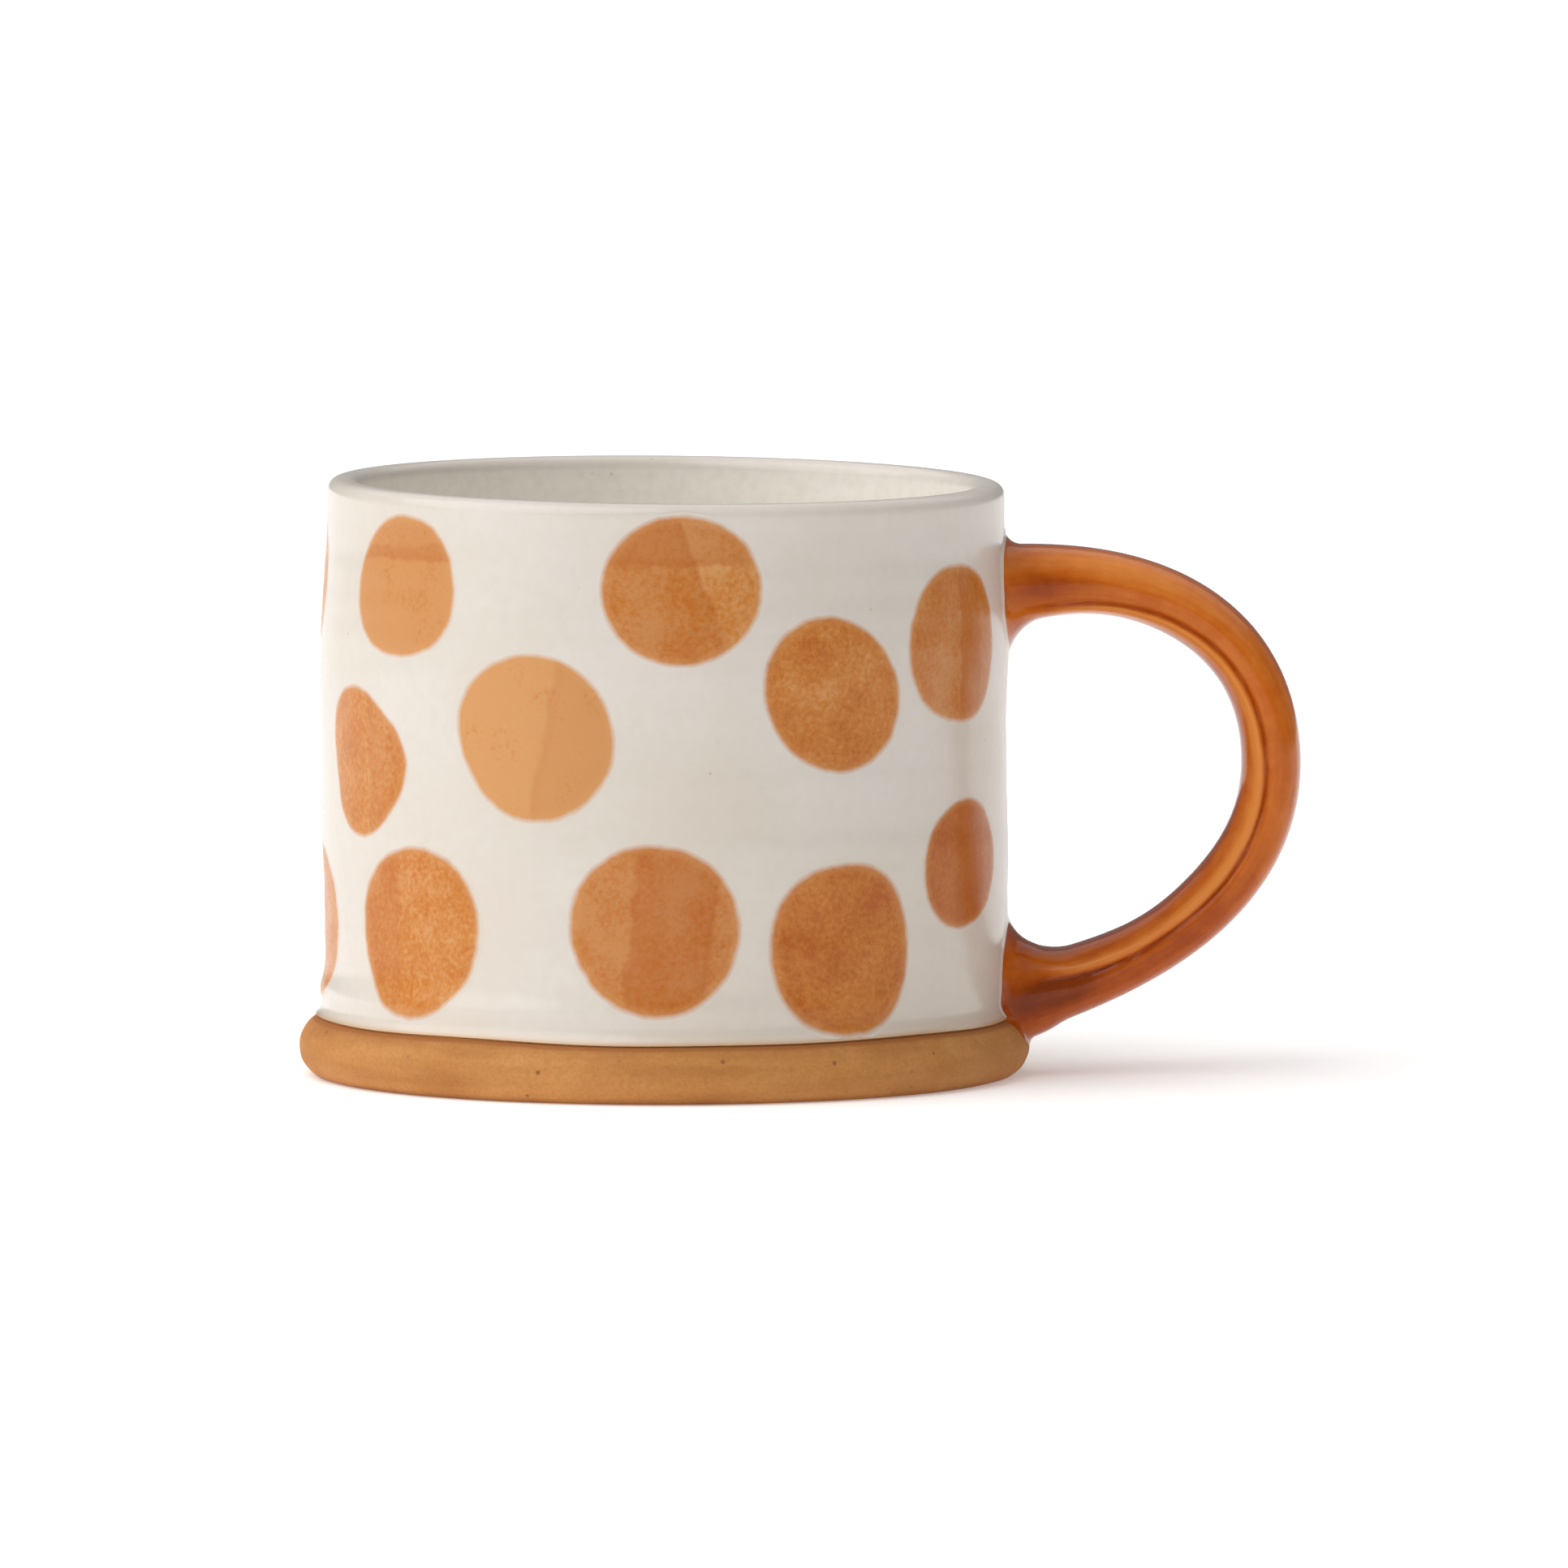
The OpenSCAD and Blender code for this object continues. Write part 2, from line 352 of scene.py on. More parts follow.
def clay_net(name, light, tan, toasted_and_shade):
    """A dry clay finish in the three given colours."""
    material, tree, shader = new_finish(name, Specular_IOR_Level=0.25)
    cloud = ramp(tree, noise(tree, 12, 4), (0.34, 0), (0.68, 1))
    colour = mix(tree, cloud, light, tan)
    streak = ramp(tree, noise(tree, 9, 4, stretch=(0.35, 0.35, 3.0)), (0.46, 0), (0.70, 1))
    colour = mix(tree, maths(tree, "MULTIPLY", streak, 0.40), colour, toasted_and_shade)
    grain = ramp(tree, noise(tree, 0.55, 4, roughness=0.7), (0.40, 0), (0.64, 1))
    colour = mix(tree, maths(tree, "MULTIPLY", grain, 0.28), colour, toasted_and_shade)
    # Painted shade: darker under the glaze's edge and along the bottom edge, where the base's points
    # ask for it.
    near = maths(tree, "MULTIPLY_ADD", noise(tree, 4, 3), 0.5, attribute(tree, "painted_clay_shade").outputs["Fac"])
    colour = mix(tree, ramp(tree, near, (0.35, 0), (0.95, 0.8)), colour, toasted_and_shade)
    speck = specks(tree, 2.6, 0.16, seed=0.3)
    few = ramp(tree, noise(tree, 6, 2), (0.50, 0), (0.60, 1))
    seen = maths(tree, "MULTIPLY", maths(tree, "MULTIPLY", speck, few), 0.7)
    colour = mix(tree, seen, colour, clay_speck)
    tree.links.new(colour, shader.inputs["Base Color"])
    rough = maths(tree, "MULTIPLY_ADD", noise(tree, 2, 3), 0.25, 0.62)
    tree.links.new(rough, shader.inputs["Roughness"])
    fine = bump(tree, noise(tree, 0.35, 3, roughness=0.8), 0.05)
    grit = bump(tree, noise(tree, 1.3, 4, roughness=0.7), 0.10, fine)
    tree.links.new(grit, shader.inputs["Normal"])
    return material


bare_clay = clay_net("bare_clay", clay_light, clay_tan, clay_toasted_and_shade)
clay_body = clay_net("clay_body", body_light, body_tan, body_toasted)
print(bare_clay.name, clay_body.name)

# %% [markdown]
# ## The amber glaze
# A clear honey-brown glaze over the same clay. Glass that is thin shows bright orange clay through
# it, as along the ridge of the handle, and glass that has pooled, as in the groove and at the
# joints, is nearly brown. The handle's points store how deep the glaze lies, with painted shade
# along the strap's edges and on the outer side of its lower arm and a painted sheen on the outer
# side of its upper arm added in, how far along the loop they are, and where the cream glaze of the
# cup runs up the joint.

# %% Amber glaze
amber_bright = (0.720, 0.235, 0.042)
amber_mid = (0.550, 0.126, 0.010)
amber_deep = (0.390, 0.066, 0.004)
amber_pool = (0.240, 0.040, 0.003)

amber, tree, shader = new_finish("amber_glaze", Specular_IOR_Level=0.22)
cream_colour, gloss, height = cream_net(tree)
along = attribute(tree, "along")
streaky = noise(tree, 1.5, 4, stretch=(1, 1, 0.12), vector=along.outputs["Vector"], roughness=0.6)
mottled = noise(tree, 3.2, 4, roughness=0.6)
# The stored depth of glaze also carries painted shade and a painted sheen.
pool_shade_and_sheen = attribute(tree, "pool_shade_and_sheen").outputs["Fac"]
depth = maths(tree, "ADD", pool_shade_and_sheen, maths(tree, "MULTIPLY_ADD", streaky, 0.50, -0.25))
depth = maths(tree, "ADD", depth, maths(tree, "MULTIPLY_ADD", mottled, 0.44, -0.22), clamp=True)
colour = ramp(tree, depth,
              (0.05, amber_bright), (0.45, amber_mid), (0.75, amber_deep), (1.0, amber_pool))
cream_share = maths(tree, "SUBTRACT", attribute(tree, "cream").outputs["Fac"], 0.15)
ragged = maths(tree, "MULTIPLY_ADD", noise(tree, 2.4, 3), 0.3, cream_share)
colour = mix(tree, ramp(tree, ragged, (0.42, 0), (0.62, 1)), colour, cream_colour)
tree.links.new(colour, shader.inputs["Base Color"])
tree.links.new(maths(tree, "MULTIPLY_ADD", noise(tree, 4, 3), 0.12, 0.07), shader.inputs["Roughness"])
ripple = bump(tree, noise(tree, 2.0, 2), 0.03)
tree.links.new(bump(tree, streaky, 0.05, ripple), shader.inputs["Normal"])
print(amber.name, len(tree.nodes), "nodes")

# %% [markdown]
# ## The studio floor's finish
# A plain pale board with a little grain, and its faint glow.

# %% Floor finish
floor_paint, tree, shader = new_finish("floor_paint", Roughness=0.7, Specular_IOR_Level=0.2,
                                       Emission_Color=(1, 1, 1, 1), Emission_Strength=0.26)
floor_grey = (0.96, 0.96, 0.96)
floor_white = (0.98, 0.98, 0.98)
colour = mix(tree, noise(tree, 60, 3), floor_grey, floor_white)
tree.links.new(colour, shader.inputs["Base Color"])
floor.data.materials.append(floor_paint)
print(floor_paint.name, len(tree.nodes), "nodes")

# %% [markdown]
# ## Turning round pieces
# On a wheel a round piece is one outline turned about an axis. A lathe-like tool could be the Screw
# modifier, or a tall cylinder scaled ring by ring. Here one point is extruded along the outline,
# as a pen draws it, and the Spin tool turns the line into a solid. Outlines are closed, so each
# turned piece is a closed solid with a thickness.

# %% Turning helpers
turn_steps = 288
weld = 0.002


def alone(piece):
    """Selects one object and nothing else."""
    bpy.ops.object.select_all(action="DESELECT")
    piece.select_set(True)
    bpy.context.view_layer.objects.active = piece


def arc(centre, radii, start, end, count):
    """Points of an arc or part of an oval, between two angles in degrees."""
    angles = [math.radians(start + (end - start) * i / count) for i in range(count + 1)]
    return [(centre[0] + radii[0] * math.cos(a), centre[1] + radii[1] * math.sin(a)) for a in angles]


def line(start, end, count):
    """Evenly spaced points on a straight line, without the first."""
    return [tuple(a + (b - a) * i / count for a, b in zip(start, end)) for i in range(1, count + 1)]


def turned(name, outline):
    """Draws a closed outline of (radius, height) in millimetres and spins it into a solid."""
    bpy.ops.object.select_all(action="DESELECT")
    bpy.ops.mesh.primitive_plane_add(size=mm)
    piece = bpy.context.object
    piece.name = name
    bpy.ops.object.mode_set(mode="EDIT")
    bpy.ops.mesh.select_all(action="SELECT")
    bpy.ops.mesh.merge(type="CENTER")
    path = list(outline) + [outline[0]]
    bpy.ops.transform.translate(value=(path[0][0] * mm, 0, path[0][1] * mm))
    for (r0, z0), (r1, z1) in zip(path, path[1:]):
        step = ((r1 - r0) * mm, 0, (z1 - z0) * mm)
        bpy.ops.mesh.extrude_region_move(TRANSFORM_OT_translate={"value": step})
    bpy.ops.mesh.select_all(action="SELECT")
    bpy.ops.mesh.remove_doubles(threshold=weld * mm)
    bpy.ops.mesh.spin(steps=turn_steps, angle=math.tau, center=(0, 0, 0), axis=(0, 0, 1))
    bpy.ops.mesh.select_all(action="SELECT")
    bpy.ops.mesh.remove_doubles(threshold=weld * mm)
    bpy.ops.mesh.normals_make_consistent(inside=False)
    bpy.ops.object.mode_set(mode="OBJECT")
    return piece


print("round pieces are turned in", turn_steps, "steps")

# %% Reading, shaping and finishing pieces
smooth_below = math.radians(40)


def read_points(piece):
    """The places of a piece's points, in millimetres."""
    points = np.empty(len(piece.data.vertices) * 3)
    piece.data.vertices.foreach_get("co", points)
    return points.reshape(-1, 3) / mm


def write_points(piece, points):
    """Puts a piece's points at places in millimetres."""
    piece.data.vertices.foreach_set("co", (points * mm).ravel())
    piece.data.update()


def store(piece, name, values):
    """Stores a number, or three numbers, on every point of a piece."""
    values = np.asarray(values, float)
    kind, field = ("FLOAT", "value") if values.ndim == 1 else ("FLOAT_VECTOR", "vector")
    piece.data.attributes.new(name, kind, "POINT").data.foreach_set(field, values.ravel())


def finish_piece(piece, finish, node):
    """Smooths a piece, gives it its finish, puts it under the root, and hides the solid it stands for.
    """
    alone(piece)
    bpy.ops.object.shade_smooth_by_angle(angle=smooth_below)
    piece.data.materials.clear()
    piece.data.materials.append(finish)
    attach(piece, "root")
    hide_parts(node)
    low, high = read_points(piece).min(0), read_points(piece).max(0)
    print(piece.name, len(piece.data.polygons), "faces, from", low.round(1), "to", high.round(1), "mm")


print("faces are smoothed below", round(math.degrees(smooth_below)), "degrees")

# %% [markdown]
# ## Outlines of the cup
# The base's outside is two arcs that touch: a rounded edge at the table, then a hollow curve that
# runs up into the wall. The lip is a soft oval, a little squarer than an ellipse. The glaze lies on
# all of it as a coat of even thickness, so the outlines of the wall can be asked for at any depth
# under the surface of the glaze, and a coat lies between the outlines at depth 0 and glaze_t.

# %% Outlines
edge_round = 4.4
edge_c = (foot_r - edge_round, 4.0)
cove_round = 3.5
cove_x = clay_r + cove_round
cove_c = (cove_x, edge_c[1] + math.sqrt((edge_round + cove_round) ** 2 - (cove_x - edge_c[0]) ** 2))
touch = math.degrees(math.atan2(cove_c[1] - edge_c[1], cove_c[0] - edge_c[0]))
touch_z = edge_c[1] + edge_round * math.sin(math.radians(touch))
lip_h = 1.9
lip_power = 2.5
lip_steps = 14


def clay_radius(z):
    """Radius of the clay outside the cup, at a height."""
    z = np.asarray(z, float)
    edge = edge_c[0] + np.sqrt(np.clip(edge_round**2 - (z - edge_c[1]) ** 2, 0, None))
    cove = cove_c[0] - np.sqrt(np.clip(cove_round**2 - (cove_c[1] - z) ** 2, 0, None))
    return np.where(z < touch_z, edge, np.where(z < cove_c[1], cove, clay_r))


def lip(side, depth):
    """Half of the lip, from the wall to its top: side is 1 outside and -1 inside."""
    points = []
    half = (clay_r - inner_r) / 2 + glaze_t - depth
    for i in range(lip_steps + 1):
        a = math.pi / 2 * i / lip_steps
        across = half * math.cos(a) ** (2 / lip_power)
        rise = (lip_h - depth) * math.sin(a) ** (2 / lip_power)
        points.append((meet_r + side * across, mug_h - lip_h + rise))
    return points


def wall_outside(depth, rows=44):
    """The cup's outside, from the glaze's lower edge to the top of the lip, at a depth in the glaze."""
    bottom = math.degrees(math.asin((foot_h - cove_c[1]) / (cove_round - glaze_t + depth)))
    reach = (cove_round - glaze_t + depth,) * 2
    hollow = arc(cove_c, reach, 180 - bottom, 180, 10)
    rim = lip(1, depth)
    return hollow + line(hollow[-1], rim[0], rows) + rim[1:]


def wall_inside(depth):
    """The cup's inside, from the top of the lip to the middle of the floor, at a depth in the glaze."""
    corner_c = (inner_r - coil_r, foot_h + coil_r)
    reach = (coil_r - glaze_t + depth,) * 2
    rim = lip(-1, depth)[::-1]
    corner = arc(corner_c, reach, 0, -90, 12)
    floor_end = (0.0, corner[-1][1])
    return rim + line(rim[-1], corner[0], 40) + corner[1:] + line(corner[-1], floor_end, 26)


print(f"the glaze's lower edge is at {foot_h:.1f} mm, the hollow curve ends at {cove_c[1]:.1f} mm")

# %% [markdown]
# ## Made by hand
# A hand-made cup is never a true cylinder. This one is a little oval, bellies out twice, narrows
# under the lip, swells a little more on the left than on the right, carries faint finger rings,
# sits a hair off the middle of its base, and its lip dips towards the handle and the front.
# One function holds all of that, and every piece of the cup and every spot goes through it, so
# they stay face to face. A bump is written as (how far it stands out, its height, its reach), and a
# wave as (its size, how many go round the cup, where it starts).

# %% Bumps and waves
lip_lean = math.tan(math.radians(0.55))
lip_nod = math.tan(math.radians(0.51))
lip_sink = 0.60
off_centre = 0.27
bellies = [(0.40, 61, 9), (0.48, 35, 8), (0.10, 20, 5)]
left_swells = [(0.55, 51, 10), (0.70, 12, 2.2)]
right_hollows = [(0.38, 37, 6), (0.20, 52, 8)]
edge_waves = [(0.16, 2, 1), (0.10, 5, 0), (0.06, 9, 2)]


def smooth(value, low, high):
    """0 below low, 1 above high, and a soft step between."""
    t = np.clip((value - low) / (high - low), 0, 1)
    return t * t * (3 - 2 * t)


def bulge(z, middle, width):
    """A soft bump of height 1 around a middle height."""
    return np.exp(-(((z - middle) / width) ** 2))


def bumps(z, table):
    """The sum of several bumps at a height."""
    return sum(size * bulge(z, middle, width) for size, middle, width in table)


print("the wall has", len(bellies), "bellies, and the glaze's edge", len(edge_waves), "waves")

# %% Hand-made shape
def stands_out(angle, z):
    """How far the wall stands out from a true cylinder, in millimetres."""
    oval = 0.13 * np.cos(2 * angle - 0.5) + 0.05 * np.cos(3 * angle + 2) + 0.12 * np.cos(angle) - 0.25
    narrow = -0.35 * smooth(z, 66, 78)
    wander = 1.2 * np.sin(angle + 0.4) + 0.6 * np.sin(2 * angle + 1)
    rings = 0.015 * np.sin(1.35 * z + wander) + 0.012 * np.sin(0.83 * z + 2 * wander)
    right = 0.5 + 0.5 * np.cos(angle)
    lean = (1 - right) * bumps(z, left_swells) - right * bumps(z, right_hollows)
    foot = -off_centre * np.cos(angle) * (1 - smooth(z, 8, 14))
    return oval + foot + lean + smooth(z, 11, 20) * (bumps(z, bellies) + narrow + rings)


def glaze_edge(angle):
    """How far the lower edge of the outside glaze wanders up and down, in millimetres."""
    return sum(size * np.sin(count * angle + start) for size, count, start in edge_waves)


def dips(x, y, z):
    """How far the wall has sunk at a place, more at the lip, the front and the handle."""
    return (lip_sink + x * lip_lean - y * lip_nod) * smooth(z, 14, mug_h)


def by_hand(points, wandering_edge=False):
    """Moves points of a true round cup to where the hand-made one has them."""
    x, y, z = points.T
    angle = np.arctan2(y, x)
    radius = np.hypot(x, y)
    if wandering_edge:
        shift = glaze_edge(angle) * (1 - smooth(z, foot_h, cove_c[1] + 2))
        radius = radius + clay_radius(z + shift) - clay_radius(z)
        z = z + shift
    radius = radius + stands_out(angle, z) * smooth(radius, 0, inner_r - coil_r)
    x, y = radius * np.cos(angle), radius * np.sin(angle)
    return np.stack([x, y, z - dips(x, y, z)], 1)


def glazed_radius(z):
    """Radius of the glazed outside of a true round cup, at a height above the base."""
    rise = np.clip(cove_c[1] - z, 0, cove_round - glaze_t)
    return cove_c[0] - np.sqrt((cove_round - glaze_t) ** 2 - rise**2)


def cup_surface(angle, z):
    """Radius of the finished outside of the cup, glaze included."""
    coated = smooth(z, foot_h - 0.2, foot_h + 0.3)
    return clay_radius(z) * (1 - coated) + glazed_radius(z) * coated + stands_out(angle, z)


belly_z = 61.0
print("at the upper belly the wall stands out by", round(float(stands_out(0.0, belly_z)), 2),
      "mm on the right and", round(float(stands_out(math.pi, belly_z)), 2), "mm on the left")

# %% [markdown]
# ## The base
# The base was a slab of clay pressed out into a flare. Only its edge is seen from the side, but it
# also has a foot ring to stand on, with a shallow hollow inside it, as any mug has when it is
# turned over. Fine dents from the potter's sponge are real relief, and the grit is in the finish.

# %% Base slab
recess_h = 2.0
ring_r = 39.0
ring_inner = [(ring_r - 1.2, recess_h), (ring_r - 0.6, recess_h - 0.15),
              (ring_r - 0.2, recess_h - 0.55), (ring_r, recess_h - 1.1),
              (ring_r + 0.15, 0.6), (ring_r + 0.5, 0.2), (ring_r + 1.1, 0.0)]
stand_r = edge_c[0] + math.sqrt(edge_round**2 - edge_c[1] ** 2)
bottom = -math.degrees(math.asin(edge_c[1] / edge_round))
seam = 180 + math.degrees(math.asin((cove_c[1] - foot_h) / cove_round))
dent_depth, small_dent_depth = 0.05, 0.03

outline = [(0.0, recess_h)] + line((0.0, recess_h), ring_inner[0], 16) + ring_inner[1:]
outline += line(ring_inner[-1], (stand_r - 0.7, 0.0), 5)
outline += [(stand_r - 0.2, 0.05)] + arc(edge_c, (edge_round,) * 2, bottom + 6, touch, 22)
outline += arc(cove_c, (cove_round,) * 2, 180 + touch, seam, 4)[1:]
outline += line(outline[-1], (0.0, foot_h), 16)
base = turned("base_slab_clay", outline)

points = by_hand(read_points(base))
angle = np.arctan2(points[:, 1], points[:, 0])
outer = smooth(points[:, 0] ** 2 + points[:, 1] ** 2, (cup_r - 2) ** 2, cup_r**2)
dents = dent_depth * np.sin(11 * angle + points[:, 2]) * np.sin(7 * angle + 1.3 * points[:, 2] + 2)
dents += small_dent_depth * np.sin(23 * angle - 1.7 * points[:, 2])
below_seam = smooth(foot_h - points[:, 2], 0, 1.5)
below_glaze = foot_h + glaze_edge(angle) - points[:, 2]
# Painted shade: a darker band close under the glaze's edge and a darker bottom edge by the floor, on
# the base's outer rim.
painted_clay_shade = 0.75 * (1 - smooth(below_glaze, 0.25, 0.9)) + 0.25 * (1 - smooth(below_glaze, 0.5, 3.5))
painted_clay_shade += 0.45 * (1 - smooth(points[:, 2], 0.2, 1.2))
store(base, "painted_clay_shade", outer * painted_clay_shade)
shrink = 1 + (dents - dent_depth) * outer * below_seam / cup_r
write_points(base, points * np.stack([shrink, shrink, np.ones_like(shrink)], 1))
finish_piece(base, bare_clay, "base_slab")

# %% [markdown]
# ## The clay wall
# Under the glaze the wall is a ring of clay that stands on the base. It is nearly hidden: only a hair
# of it shows where the glaze's edge wanders up.

# %% Clay wall
outline = wall_outside(glaze_t) + wall_inside(glaze_t)[1:]
upright = [p for p in outline if p[0] > inner_r - 0.01]
wall = turned("cup_wall_clay", upright + [(inner_r, foot_h)])
write_points(wall, by_hand(read_points(wall)))
finish_piece(wall, bare_clay, "cup_wall")

# %% [markdown]
# ## The two coats of cream glaze
# The mug was dipped outside and lined inside, and the coats meet on top of the lip. At the base
# the outer coat ends in a rounded edge, because melted glass pulls itself round.

# %% Outer coat
# The largest share of painted shade on the lip.
most_lip_shade = 0.12
bead_h = 0.16


def lip_painted_shade(piece):
    """How much painted shade greys the lip: most on the left, least near the handle."""
    at = read_points(piece)
    return most_lip_shade * smooth(at[:, 2], mug_h - lip_h, mug_h - 0.4) * smooth(-at[:, 0], -30, 30)


outside = wall_outside(0, 96)
under = wall_outside(glaze_t)
rounded_edge = arc((under[0][0] + 0.02, foot_h + bead_h), (glaze_t * 1.02, bead_h), -90, -10, 4)
outer_coat = turned("outer_glaze_coat", rounded_edge + outside[1:] + under[::-1])
up = read_points(outer_coat)[:, 2] - foot_h
store(outer_coat, "thin", 0.8 * (1 - smooth(up, 0.05, 0.8)) + 0.2 * (1 - smooth(up, 0.3, 2.5)))
store(outer_coat, "lip", lip_painted_shade(outer_coat))
write_points(outer_coat, by_hand(read_points(outer_coat), wandering_edge=True))
finish_piece(outer_coat, cream, "outer_glaze")

# %% Liner coat
liner = turned("liner_glaze_coat", wall_inside(0) + wall_inside(glaze_t)[::-1])
store(liner, "lip", lip_painted_shade(liner))
# Painted light: everything inside, below the top of the lip, is marked for the whiter cream.
store(liner, "inside_light", smooth(mug_h - read_points(liner)[:, 2], 0.4, 2.4))
write_points(liner, by_hand(read_points(liner)))
finish_piece(liner, cream, "liner_glaze")

# %% [markdown]
# ## The handle
# A pulled handle starts as a carrot of clay, stroked with a wet hand into a strap and bent round. It
# could be a curve with a bevel, but then its joints couldn't be shaped. Here a ring is extruded along
# the handle's middle line, and turned a little at each step, as when an extruder's strap is laid
# round. Then the section is filled out, a groove and a ridge are pressed into both sides, and the
# ends are spread onto the cup.

# %% The handle's middle line
root_x = clay_r - 1.65
turn_x, turn_z = 83.3, 43
upper_curve = [(root_x, 67), (66, 71), (turn_x, 62), (turn_x, turn_z)]
lower_curve = [(turn_x, turn_z), (turn_x, 24), (63, 13.4), (root_x, 9.8)]


def bezier(corners, t):
    """Points of a curve of four points."""
    a, b, c, d = np.array(corners, float)
    t = t[:, None]
    return (1 - t) ** 3 * a + 3 * t * (1 - t) ** 2 * b + 3 * t * t * (1 - t) * c + t**3 * d


t = np.linspace(0, 1, 1200)
path = np.vstack([bezier(upper_curve, t), bezier(lower_curve, t)[1:]])
run = np.concatenate([[0], np.cumsum(np.linalg.norm(np.diff(path, axis=0), axis=1))])
tangent = np.gradient(path, axis=0)
tangent /= np.linalg.norm(tangent, axis=1, keepdims=True)
outward = np.stack([-tangent[:, 1], tangent[:, 0]], 1)
from_wall = path[:, 0] - cup_surface(0.0, path[:, 1])
at_cup = np.flatnonzero(from_wall > 0)
start_run, end_run = run[at_cup[0]], run[at_cup[-1]]
print(f"the handle's middle line is {end_run - start_run:.0f} mm long outside the cup")


def on_path(distance):
    """The place, direction and outward side of the middle line at a distance along it."""
    return [np.stack([np.interp(distance, run, column) for column in table.T], -1)
            for table in (path, tangent, outward)]


# %% Sweep a ring along it
ring_points = 128
half_thick = 4.2
half_wide = 6.85
joint_steps = [-0.5, -0.15, 0.0, 0.12, 0.28, 0.48, 0.72, 1.0, 1.35, 1.75, 2.2, 2.8, 3.5, 4.3, 5.2, 6.2]
between = np.linspace(start_run + joint_steps[-1], end_run - joint_steps[-1], 92)[1:-1]
stations = [start_run + d for d in joint_steps] + list(between)
stations += [end_run - d for d in joint_steps[::-1]]

bpy.ops.object.select_all(action="DESELECT")
bpy.ops.mesh.primitive_circle_add(vertices=ring_points, radius=mm)
handle = bpy.context.object
handle.name = "handle_glaze_coat"
place, direction, _ = on_path(stations[0])
bpy.ops.object.mode_set(mode="EDIT")
bpy.ops.mesh.select_all(action="SELECT")
bpy.ops.transform.resize(value=(half_thick, half_wide, 1))


def pitch(direction):
    """The angle of a direction above level, in the XZ plane."""
    return math.atan2(direction[1], direction[0])


def turn(angle, about):
    """Turns what is selected about the Y axis through a place."""
    centre = (about[0] * mm, 0, about[1] * mm)
    bpy.ops.transform.rotate(value=-angle, orient_axis="Y", center_override=centre)


turn(math.pi / 2 - pitch(direction), (0, 0))
bpy.ops.transform.translate(value=(place[0] * mm, 0, place[1] * mm))
for distance in stations[1:]:
    new_place, new_direction, _ = on_path(distance)
    step = (new_place - place) * mm
    bpy.ops.mesh.extrude_region_move(TRANSFORM_OT_translate={"value": (step[0], 0, step[1])})
    swing = pitch(direction) - pitch(new_direction)
    swing = (swing + math.pi) % math.tau - math.pi
    turn(swing, new_place)
    place, direction = new_place, new_direction
bpy.ops.mesh.select_all(action="SELECT")
bpy.ops.mesh.normals_make_consistent(inside=False)
bpy.ops.object.mode_set(mode="OBJECT")
print(handle.name, len(handle.data.vertices), "points, box", read_points(handle).min(0).round(1),
      read_points(handle).max(0).round(1))

# %% Shape the strap
points = read_points(handle)
nearest = np.array([np.argmin(((path - p[[0, 2]]) ** 2).sum(1)) for p in points])
distance = run[nearest]
across = ((points[:, [0, 2]] - path[nearest]) * outward[nearest]).sum(1) / half_thick
wide = points[:, 1] / half_wide
share = np.clip((distance - start_run) / (end_run - start_run), 0, 1)
theta = np.arctan2(wide, across)


def fuller(value, power=2.5):
    """The cosine or sine of a rounded section that is fuller than an oval."""
    return np.sign(value) * np.abs(value) ** (2 / power)


joint_swell = 1.35
swell = joint_swell * np.abs(2 * share - 1) ** 5
q = fuller(np.cos(theta))
w = fuller(np.sin(theta))

groove_shares = [0, 0.08, 0.22, 0.5, 0.7, 0.82, 0.88, 0.94, 1]
groove_places = [-0.7, -0.6, -0.42, -0.17, -0.08, -0.04, -0.12, -0.27, -0.36]
groove_q = np.interp(share, groove_shares, groove_places)
fade = smooth(share, 0.01, 0.10) * smooth(1 - share, 0.02, 0.12)
groove = bulge(q, groove_q, 0.08) * fade
ridge = bulge(q, groove_q - 0.28, 0.17) * fade
belly = bulge(q, groove_q + 0.55, 0.40) * fade
side = np.sign(w) * smooth(np.abs(w), 0.15, 0.75)
pressed = side * (0.45 * ridge - 0.42 * groove + 0.12 * belly)

thick = half_thick + swell + 0.10 * np.sin(9 * share + 1)
broad = half_wide + 1.2 * swell + 0.15 * np.sin(7 * share)
place, _, out = on_path(distance)
points[:, 0] = place[:, 0] + out[:, 0] * thick * q
points[:, 2] = place[:, 1] + out[:, 1] * thick * q
points[:, 1] = broad * w + pressed
to_end = end_run - distance
upper_thinner = 0.35 * bulge(share, 0.13, 0.09)
lower_thinner = 0.45 * bulge(to_end, 22, 8)
joint_fuller = 1.65 * (1 - smooth(to_end, 3, 11))
inner_side = smooth(-q, 0, 1)
points[:, [0, 2]] += out * (inner_side * (upper_thinner + lower_thinner - joint_fuller))[:, None]
print("groove and ridge are pressed", round(float(np.abs(pressed).max()), 2), "mm")

# %% [markdown]
# At each joint the potter wets the clay and strokes it onto the cup, which leaves a hollow curve all
# round: tight at the sides and outside the loop, wide inside it. Points near a joint are first pushed
# along the strap so that each ring keeps its distance from the curved wall, then spread outwards by a
# quarter circle.

# %% Spread the ends onto the cup
# How far each joint spreads, in millimetres: at the sides, outside the loop, and inside it.
upper_spread = (1.3, 2.2, 4.7)
lower_spread = (1.3, 0.9, 6.0)
hold_from, hold_to = 0.5, 9.0


def to_wall(points):
    """How far points stand off the cup, along X."""
    radius = cup_surface(np.arctan2(points[:, 1], points[:, 0]), points[:, 2])
    return points[:, 0] - np.sqrt(np.clip(radius**2 - points[:, 1] ** 2, 0, None))


